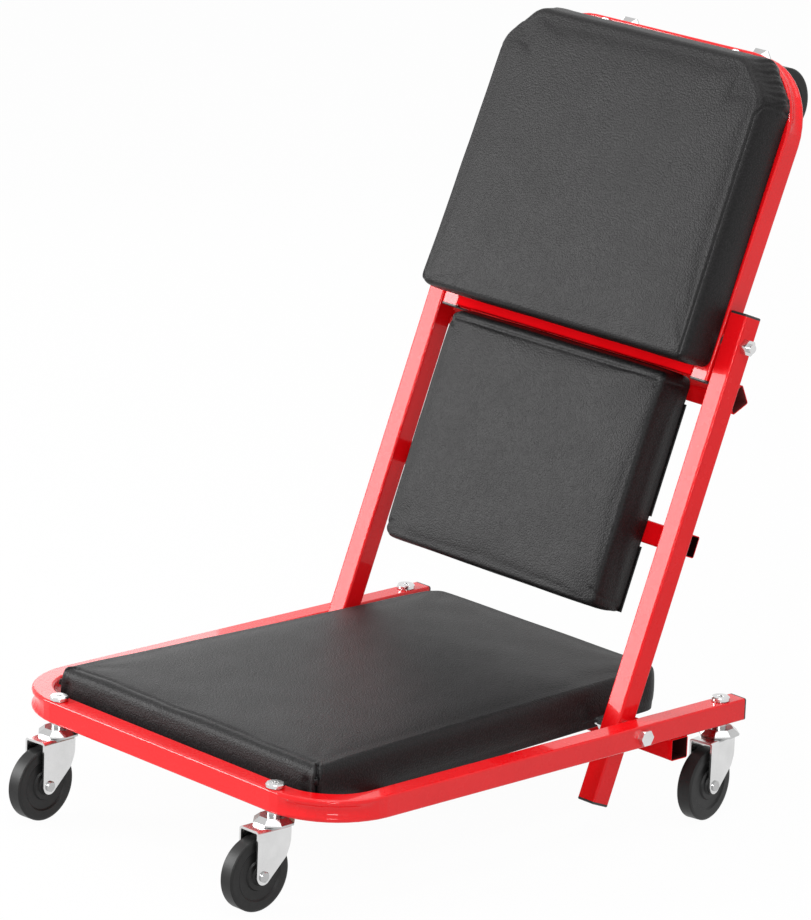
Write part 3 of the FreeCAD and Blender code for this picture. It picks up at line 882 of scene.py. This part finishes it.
def make_base_pad():
    shape = PadShape(
        box=local_box("base_pad", BASE_PLANE),
        taper=147 / 170,
        corners=[round_corner(7 * MM), round_corner(17 * MM)],
        rolls=(5 * MM, 9 * MM, 4 * MM),
        slack=3 * MM,
        crown=2.5 * MM,
        corner_drop=1 * MM,
        flare=0.0,
    )
    insets = (3 * MM, 7 * MM, 11 * MM)
    fine_x = [(side * (shape.half - inset), FOLD_STEP) for side in (-1, 1) for inset in insets]
    fine_y = [(shape.low + FRONT_CREASE, CREASE_STEP)]
    make_pad("base_cushion", "base_pad", "base", BASE_PLANE, shape, base_seams(shape), fine_x, fine_y)


def make_middle_pad():
    shape = PadShape(
        box=local_box("middle_pad", MIDDLE_PLANE),
        taper=1.0,
        corners=[round_corner(8 * MM), round_corner(8 * MM)],
        rolls=(3 * MM, 4.5 * MM, 6 * MM),
        slack=1.5 * MM,
        crown=3 * MM,
        corner_drop=4 * MM,
        flare=2 * MM,
    )
    fine_y = [(shape.high - WELT, WELT_STEP)]
    fine_y += [(shape.high - 12 * MM, FOLD_STEP), (shape.low + 10 * MM, FOLD_STEP)]
    make_pad("middle_cushion", "middle_pad", "middle", MIDDLE_PLANE, shape, middle_seams(shape), [], fine_y)


def make_upper_pad():
    shape = PadShape(
        box=local_box("upper_pad", UPPER_PLANE),
        taper=164 / 168.5,
        corners=[round_corner(10 * MM), (34 * MM, 24 * MM)],
        rolls=(4 * MM, 6 * MM, 6 * MM),
        slack=4 * MM,
        crown=3 * MM,
        corner_drop=0.6 * MM,
        flare=5.5 * MM,
    )
    insets = [(k + 1) * PLEAT_PITCH for k in range(PLEATED_LINES)]
    fine_x = [(side * (shape.half - inset), PLEAT_STEP) for side in (-1, 1) for inset in insets]
    fine_y = [(shape.high - inset, PLEAT_STEP) for inset in insets]
    make_pad("upper_cushion", "upper_pad", "upper", UPPER_PLANE, shape, upper_seams(shape), fine_x, fine_y)


# Hems and staples
HEM_WIDTH = 16 * MM
HEM_LIP = 0.6 * MM
HEM_THICK = 1.2 * MM
HEM_STEP = 4 * MM
HEM_WAVE = 1.3 * MM
HEM_WAVE_RATE = 95
HEM_RIPPLE = 0.8 * MM
HEM_RIPPLE_RATE = 231
HEM_GAP = 4 * MM
STAPLE_PITCH = 32 * MM
STAPLE_INSET = 9 * MM
STAPLE_HALF = (0.5 * MM, 5 * MM, 0.4 * MM)
STAPLE_DEPTH = -HEM_THICK - 0.3 * MM


def settle(name, points, faces, body, slot):
    """Makes a piece of the given slot that rides a body."""
    piece = new_piece(name, points, faces)
    dress(piece, slot)
    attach(piece, body)
    return piece


def hem_strip(points, faces, start, end, inward):
    """Adds a folded strip of cover, along the line from start to end, with a wavy inner edge."""
    start, end, inward = np.array(start), np.array(end), np.array(inward)
    length = np.linalg.norm(end - start)
    count = int(length / HEM_STEP)
    first = len(points)
    for k in range(count + 1):
        share = k / count
        rim = start + (end - start) * share
        run = share * length
        wave = HEM_WAVE * math.sin(HEM_WAVE_RATE * run + first)
        wave += HEM_RIPPLE * math.sin(HEM_RIPPLE_RATE * run)
        inner = rim + inward * (HEM_WIDTH + wave)
        outer = rim - inward * HEM_LIP
        points += [(*outer, HEM_LIP), (*outer, -0.8 * HEM_THICK), (*inner, -HEM_THICK), (*inner, 0.0)]
    for k in range(count):
        a = first + 4 * k
        for i in range(4):
            n = (i + 1) % 4
            faces.append((a + i, a + n, a + 4 + n, a + 4 + i))
    faces.append((first, first + 3, first + 2, first + 1))
    last = first + 4 * count
    faces.append((last, last + 1, last + 2, last + 3))


def add_box(points, faces, centre, half):
    first = len(points)
    for z in (-1, 1):
        for x, y in ((-1, -1), (1, -1), (1, 1), (-1, 1)):
            points.append((centre[0] + x * half[0], centre[1] + y * half[1], centre[2] + z * half[2]))
    for face in ((3, 2, 1, 0), (4, 5, 6, 7), (0, 1, 5, 4), (1, 2, 6, 5), (2, 3, 7, 6), (3, 0, 4, 7)):
        faces.append(tuple(first + i for i in face))


def make_hems():
    """The middle pad's cover, folded over the back of its board and stapled."""
    low, high = local_box("middle_pad", MIDDLE_PLANE)
    bar_low, bar_high = local_box("middle_lower_crossbar", MIDDLE_PLANE)
    stop_low = local_box("middle_stop_crossbar", MIDDLE_PLANE)[0]
    spans = [(low[1] + 2 * MM, bar_low[1] - HEM_GAP), (bar_high[1] + HEM_GAP, stop_low[1] - HEM_GAP)]
    points, faces = [], []
    staple_points, staple_faces = [], []
    for side in (-1, 1):
        for start, end in spans:
            hem_strip(points, faces, (side * high[0], start), (side * high[0], end), (-side, 0))
            for along in np.arange(start + 14 * MM, end - 8 * MM, STAPLE_PITCH):
                spot = (side * (high[0] - STAPLE_INSET), along, STAPLE_DEPTH)
                add_box(staple_points, staple_faces, spot, STAPLE_HALF)
    inner = high[0] - HEM_WIDTH - HEM_GAP
    hem_strip(points, faces, (-inner, low[1]), (inner, low[1]), (0, 1))
    thin, long, thick = STAPLE_HALF
    for across in np.arange(-inner + 12 * MM, inner, STAPLE_PITCH):
        spot = (across, low[1] + STAPLE_INSET, STAPLE_DEPTH)
        add_box(staple_points, staple_faces, spot, (long, thin, thick))
    settle("middle_hems", MIDDLE_PLANE.out(np.array(points)), faces, "middle", "black_leather")
    staple_points = MIDDLE_PLANE.out(np.array(staple_points))
    settle("middle_staples", staple_points, staple_faces, "middle", "bright_zinc")


# Weld beads
BEAD = 1.9 * MM
BEAD_STEP = 0.6 * MM
BEAD_PITCH = 2.6 * MM
BEAD_RIPPLE = 0.13
BEAD_SIDES = 8
BEAD_TIP = 0.05
OFF_AXIS = (0.3, 0.5, 0.81)
BEAD_INSET = 1 * MM
STOP_BEAD_DEPTH = -1.5 * MM
STOP_BEAD_SHIFT = 2.5 * MM


def bead(points, faces, start, end):
    """Adds a rippled weld bead along the line from start to end."""
    start, end = np.array(start), np.array(end)
    length = np.linalg.norm(end - start)
    along = (end - start) / length
    side = np.cross(along, OFF_AXIS)
    side /= np.linalg.norm(side)
    other = np.cross(along, side)
    count = int(length / BEAD_STEP)
    first = len(points)
    for k in range(count + 1):
        run = length * k / count
        taper = math.sqrt(max(BEAD_TIP, 1 - (2 * k / count - 1) ** 6))
        radius = BEAD * taper * (1 + BEAD_RIPPLE * math.cos(2 * math.pi * run / BEAD_PITCH))
        for i in range(BEAD_SIDES):
            turn = 2 * math.pi * i / BEAD_SIDES
            points.append(start + along * run + radius * (math.cos(turn) * side + math.sin(turn) * other))
    for k in range(count):
        for i in range(BEAD_SIDES):
            n = (i + 1) % BEAD_SIDES
            a = first + k * BEAD_SIDES
            faces.append((a + i, a + n, a + BEAD_SIDES + n, a + BEAD_SIDES + i))
    faces.append(tuple(first + i for i in reversed(range(BEAD_SIDES))))
    faces.append(tuple(first + count * BEAD_SIDES + i for i in range(BEAD_SIDES)))


def make_welds(body, plane, lines):
    """Beads along the given lines and their mirror images."""
    points, faces = [], []
    for start, end in lines:
        for side in (-1, 1):
            bead(points, faces, (side * start[0], *start[1:]), (side * end[0], *end[1:]))
    settle(body + "_welds", plane.out(np.array(points)), faces, body, "red_paint").data.shade_smooth()


def weld_base():
    """Beads where the rear cross tube meets the rails."""
    rail = RAIL_HIGH.x
    low, high = local_box("base_rear_crossbar", BASE_PLANE)
    start = rail - TUBE + BEAD_INSET
    end = min(rail, high[0]) - BEAD_INSET
    lines = [((start, along, 0.0), (end, along, 0.0)) for along in (low[1], high[1])]
    make_welds("base", BASE_PLANE, lines)


def weld_middle():
    """Beads where the lower cross tube and the stop bar meet the side tubes."""
    low, high = local_box("middle_lower_crossbar", MIDDLE_PLANE)
    start = local_box("middle_tube_right", MIDDLE_PLANE)[0][0] + BEAD_INSET
    end = high[0] - BEAD_INSET
    lines = [((start, along, 0.0), (end, along, 0.0)) for along in (low[1], high[1])]
    low, high = local_box("middle_stop_crossbar", MIDDLE_PLANE)
    corner = (low[1] + high[1]) / 2
    for along in (corner - STOP_BEAD_SHIFT, corner + STOP_BEAD_SHIFT):
        lines.append(((start, along, STOP_BEAD_DEPTH), (end, along, STOP_BEAD_DEPTH)))
    make_welds("middle", MIDDLE_PLANE, lines)


def weld_upper():
    """Beads round three sides of the cross tube's ends."""
    low, high = local_box("upper_crossbar", UPPER_PLANE)
    end = high[0]
    back = low[2] + BEAD_INSET
    front = high[2] - 3 * MM
    lines = [((end, along, back), (end, along, front)) for along in (low[1], high[1])]
    lines.append(((end, low[1] + BEAD_INSET, low[2]), (end, high[1] - BEAD_INSET, low[2])))
    make_welds("upper", UPPER_PLANE, lines)


# Studio
FLOOR_HALF = 6.0
FLOOR_TONE = 0.7
FLOOR_WHITE = 0.97
WORLD_LIGHT = 0.55
WHITE = (1, 1, 1, 1)
LIGHTS_AIM = Vector((0.0, 0.0, 0.3))

# Name, place, width, height and power of each lamp
LAMPS = [
    ("key_softbox", (-1.75, -1.65, 1.0), 1.1, 1.2, 55),
    ("rear_softbox", (-1.95, 0.95, 0.75), 0.8, 0.7, 3),
    ("high_softbox", (0.85, -0.95, 2.2), 0.6, 0.35, 12),
    ("edge_strip", (2.5, -2.0, 1.2), 0.8, 0.4, 18),
    ("top_softbox", (0.0, 0.2, 2.8), 2.0, 2.0, 24),
]


def seen_directly(tree):
    """1 for what the camera sees, also in a reflection or through a clear piece, 0 for falling light."""
    path = add(tree, "ShaderNodeLightPath")
    seen = math_node(tree, "MAXIMUM", path.outputs["Is Camera Ray"], path.outputs["Is Glossy Ray"])
    return math_node(tree, "MAXIMUM", seen, path.outputs["Is Transmission Ray"])


def pale_surface(name):
    """White where it is seen, with part of the real shading kept for shadows."""
    material, tree, shader = new_material(name)
    shader.inputs["Base Color"].default_value = (*grey(FLOOR_TONE), 1)
    shader.inputs["Roughness"].default_value = 0.9
    shader.inputs["Specular IOR Level"].default_value = 0.0
    glow = add(tree, "ShaderNodeEmission")
    glow.inputs["Color"].default_value = WHITE
    mix = add(tree, "ShaderNodeMixShader")
    tree.links.new(math_node(tree, "MULTIPLY", seen_directly(tree), FLOOR_WHITE), mix.inputs["Fac"])
    tree.links.new(shader.outputs["BSDF"], mix.inputs[1])
    tree.links.new(glow.outputs["Emission"], mix.inputs[2])
    tree.links.new(mix.outputs["Shader"], tree.nodes["Material Output"].inputs["Surface"])
    return material


def make_floor():
    corners = [(-1, -1, 0), (1, -1, 0), (1, 1, 0), (-1, 1, 0)]
    floor = new_piece("studio_floor", np.array(corners) * FLOOR_HALF, [(0, 1, 2, 3)])
    floor.data.materials.append(pale_surface("studio_white"))


def make_world():
    """Plain light all round, and a white background."""
    world = bpy.data.worlds.new("studio")
    scene.world = world
    world.use_nodes = True
    tree = world.node_tree
    light = tree.nodes["Background"]
    light.inputs["Color"].default_value = WHITE
    light.inputs["Strength"].default_value = WORLD_LIGHT
    white = add(tree, "ShaderNodeBackground")
    white.inputs["Color"].default_value = WHITE
    white.inputs["Strength"].default_value = 1.0
    mix = add(tree, "ShaderNodeMixShader")
    tree.links.new(seen_directly(tree), mix.inputs["Fac"])
    tree.links.new(light.outputs["Background"], mix.inputs[1])
    tree.links.new(white.outputs["Background"], mix.inputs[2])
    tree.links.new(mix.outputs["Shader"], tree.nodes["World Output"].inputs["Surface"])


def make_lights():
    for name, spot, width, height, power in LAMPS:
        lamp = bpy.data.lights.new(name, "AREA")
        lamp.shape = "RECTANGLE"
        lamp.size = width
        lamp.size_y = height
        lamp.energy = power
        holder = bpy.data.objects.new(name, lamp)
        holder.location = spot
        holder.rotation_euler = (LIGHTS_AIM - Vector(spot)).to_track_quat("-Z", "Y").to_euler()
        scene.collection.objects.link(holder)


def make_camera():
    lens = bpy.data.cameras.new("camera")
    lens.sensor_width = SENSOR
    lens.lens = SENSOR * FOCAL_PIXELS / PHOTO_HEIGHT
    lens.clip_end = VIEW_DEPTH
    camera = bpy.data.objects.new("camera", lens)
    look = (CAMERA_AIM - CAMERA_EYE).to_track_quat("-Z", "Y").to_matrix()
    turn = look @ Matrix.Rotation(CAMERA_ROLL, 3, "Z")
    camera.matrix_world = Matrix.Translation(CAMERA_EYE) @ turn.to_4x4()
    scene.collection.objects.link(camera)
    scene.camera = camera


scene.view_settings.view_transform = "Standard"
dress_frame()
make_base_pad()
make_middle_pad()
make_upper_pad()
make_hems()
weld_base()
weld_middle()
weld_upper()
make_floor()
make_world()
make_lights()
make_camera()
